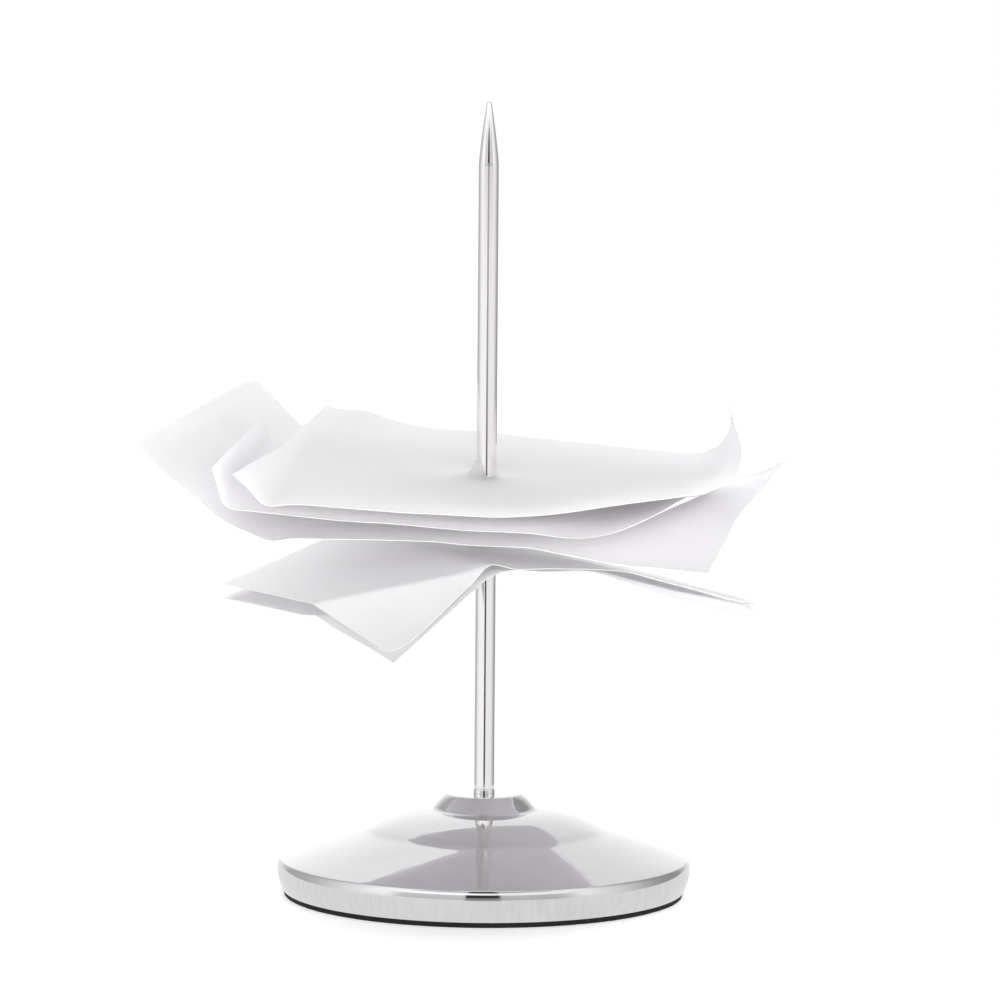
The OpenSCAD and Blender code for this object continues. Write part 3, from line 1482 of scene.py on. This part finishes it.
@dataclass
class Studio:
    """The pale floor, the surroundings that light it, and the camera."""

    floor_r: float = 150.0
    floor_steps: int = 128
    floor_albedo: float = 0.8
    floor_glow: float = 0.5
    mirrored_floor: float = 0.9
    tent: MirrorTent = MirrorTent()
    light: SoftLight = SoftLight()
    eye: Triple = (2.8, -900.0, 157.0)
    target: Triple = (2.8, 0.0, 81.0)
    focal_px: float = 4425.0
    roll: float = 0.45
    sensor: float = 36.0
    clip: Span = (0.05, 20.0)

    def build(self) -> None:
        """Set up the floor, the surroundings and the camera."""
        scene = bpy.context.scene
        scene.view_settings.view_transform = "Standard"
        self._floor()
        self._surroundings()
        scene.camera = self._camera()

    def _floor(self) -> None:
        """A round pale floor that keeps the shadow."""
        steps = np.linspace(0, 2 * math.pi, self.floor_steps, endpoint=False)
        rim = np.column_stack([np.cos(steps), np.sin(steps), np.zeros(len(steps))]) * self.floor_r
        floor = new_piece("floor", rim, [list(range(len(steps)))], sharp_above=30.0)
        made = bpy.data.materials.new("pale_floor")
        made.use_nodes = True
        web = Web(made.node_tree)
        path = web.node("ShaderNodeLightPath")
        direct = web.wire(path, "Is Camera Ray")
        mirrored = web.wire(path, "Is Glossy Ray")
        pale = (self.floor_albedo, self.floor_albedo, self.floor_albedo, 1.0)
        plain = web.wire(web.node("ShaderNodeBsdfDiffuse", None, {"Color": pale}))
        glow = web.wire(web.node("ShaderNodeEmission", None, {"Strength": self.floor_glow}))
        lit = web.wire(web.node("ShaderNodeAddShader", None, {0: plain, 1: glow}))
        even = web.wire(web.node("ShaderNodeEmission", None, {"Strength": self.mirrored_floor}))
        seen = web.wire(web.node("ShaderNodeMixShader", None, {"Fac": direct, 1: plain, 2: lit}))
        surface = web.wire(web.node("ShaderNodeMixShader", None, {"Fac": mirrored, 1: seen, 2: even}))
        web.node("ShaderNodeOutputMaterial", None, {"Surface": surface})
        floor.data.materials.append(made)

    def _surroundings(self) -> None:
        """White round the camera's view, the tent in what mirrors, and the soft light on the rest."""
        world = bpy.data.worlds.new("tent")
        bpy.context.scene.world = world
        world.use_nodes = True
        web = Web(world.node_tree)
        path = web.node("ShaderNodeLightPath")
        mirrored = web.wire(path, "Is Glossy Ray")
        direct = web.wire(path, "Is Camera Ray")
        way = web.split(web.place(Coordinates.DIRECTION))
        strength = direct + mirrored * self.tent.brightness(way)
        strength = strength + (1 - direct - mirrored) * self.light.level(way)
        shine = web.node("ShaderNodeBackground", None, {"Color": WHITE, "Strength": strength})
        web.node("ShaderNodeOutputWorld", None, {"Surface": web.wire(shine)})

    def _camera(self) -> bpy.types.Object:
        """Set the camera at the photograph's place.

        Returns:
            The camera.
        """
        lens = bpy.data.cameras.new("camera")
        lens.sensor_width = self.sensor
        lens.lens = self.focal_px / PHOTO_SIDE * self.sensor
        lens.clip_start, lens.clip_end = self.clip
        held = bpy.data.objects.new("camera", lens)
        bpy.context.scene.collection.objects.link(held)
        eye, aim = Vector(self.eye) * MM, Vector(self.target) * MM
        aimed = (aim - eye).to_track_quat("-Z", "Y").to_matrix()
        turn = aimed @ Matrix.Rotation(math.radians(self.roll), 3, "Z")
        held.matrix_world = Matrix.Translation(eye) @ turn.to_4x4()
        return held


BILLS = (
    Bill(
        number=1, length=84.5, width=80.0, left=43.5, front=39.5, lean=(0.3, 0.3, 25.5), height=70.2,
        bends=(
            Bend(-85, 39.2, 1, -55), Bend(-139, 38.5, 2, -23), Bend(176, 10.5, 6.5, -22),
            Bend(-7, -1, 17.5, -12.5),
        ),
        flap=Flap(((0, 0.5), (90, 0.2), (180, 0.5), (270, 0.2), (360, 0.5))),
        swells=(
            Swell((-12, -39.5), (5, 6), 0.65), Swell((5, -39.5), (7, 6), 0.75),
            Swell((25, -39.5), (5, 6), -0.3), Swell((-43.5, -10), (6, 4), 0.5),
            Swell((-43.5, -30), (6, 6), 0.5), Swell((41, -39.5), (4, 4), 0.5),
        ),
        seed=11, paper=SHADED_PAPER,
    ),
    Bill(
        number=2, length=88.5, width=80.0, left=43.5, front=39.5, lean=(3.6, 1.2, 25.0), height=71.4,
        bends=(
            Bend(0, 42.6, 1.2, -62), Bend(-140, 38, 1.5, -26), Bend(175, 11, 5.5, -24),
            Bend(-3, 2, 19, -10),
        ),
        flap=Flap(((0, 0.2), (90, 0.5), (180, 0.2), (270, 0.5), (360, 0.2))),
        swells=(
            Swell((-17.4, -39.5), (3, 6), 0.75), Swell((-10.8, -39.5), (3, 5), -0.3),
            Swell((-34, -39.5), (7, 6), -0.45), Swell((12, -39.5), (5, 5), 0.3),
            Swell((37, -39.5), (5, 6), -0.35),
        ),
        seed=12, on="slip_1", corner_rounds=(5.0, 0.4, 0.4, 0.4),
    ),
    Bill(
        number=3, length=122.5, width=80.0, left=68.0, front=37.0, lean=(3.1, 1.0, -15.0), height=84.4,
        bends=(
            Bend(186, 36, 16.5, 43), Bend(13, 47, 12, 32), Bend(-49, 24.5, 17, -10),
            Bend(-112, -21, 18, -10),
        ),
        flap=Flap(((0, 0.5), (90, 0.3), (180, 0.5), (270, 0.2), (360, 0.5))),
        swells=(
            Swell((-34.3, -37), (3, 6), -0.75), Swell((-61, -37), (6, 9), -0.65),
            Swell((7, -37), (5, 6), -0.3), Swell((19, -37), (4, 6), 0.3), Swell((36, -37), (8, 8), -0.5),
        ),
        seed=13, on="slip_2", press=0.2, paper=SOFT_BRIGHTENED_PAPER,
    ),
    Bill(
        number=4, length=102.0, width=57.0, left=53.0, front=43.0, lean=(3.7, 9.3, -10.0), height=85.6,
        bends=(Bend(183, 44.5, 4.5, 72), Bend(-15.5, 31.5, 15, 29)),
        flap=Flap(((0, 0.3), (90, 0.5), (180, 0.2), (270, 0.5), (360, 0.3))),
        swells=(
            Swell((-10, -43), (8, 8), 0.3), Swell((16.5, -43), (8, 8), 0.55), Swell((49, -43), (6, 6), 0.8),
        ),
        seed=14, on="slip_3", press=0.45, paper=THIN_BRIGHTENED_PAPER,
    ),
    Bill(
        number=5, length=96.0, width=80.0, left=43.0, front=44.5, lean=(4.1, 7.5, -12.0), height=86.8,
        bends=(
            Bend(19, 45.5, 16, 114), Bend(187, 38.5, 2.5, 34), Bend(151, 31, 6, 8), Bend(-27, 21.5, 12, 14),
        ),
        flap=Flap((
            (0, 0.0), (100, 0.3), (140, 1.4), (172, 2.9), (243, 2.9),
            (250, 2.2), (262, 0.5), (268, 0.0), (360, 0.0),
        )),
        swells=(
            Swell((-34.5, -44.5), (4, 9), -0.95), Swell((4, -44.5), (9, 10), 0.6),
            Swell((25, -44.5), (8, 8), -0.3), Swell((-34, 35.5), (4, 8), 0.9),
            Swell((-9.6, 35.5), (10, 10), 0.45),
        ),
        seed=15, on="slip_4", press=0.7, paper=THIN_BRIGHTENED_PAPER,
    ),
)


def main() -> None:
    """Build the base, the spike, the bills and the studio."""
    logging.basicConfig(level=logging.INFO, format="%(message)s")
    for piece in (*Base().build(), *Spike().build()):
        log.info("made %s", piece.name)
    for bill in BILLS:
        log.info("made %s", bill.build().name)
    Studio().build()


if __name__ == "__main__":
    main()
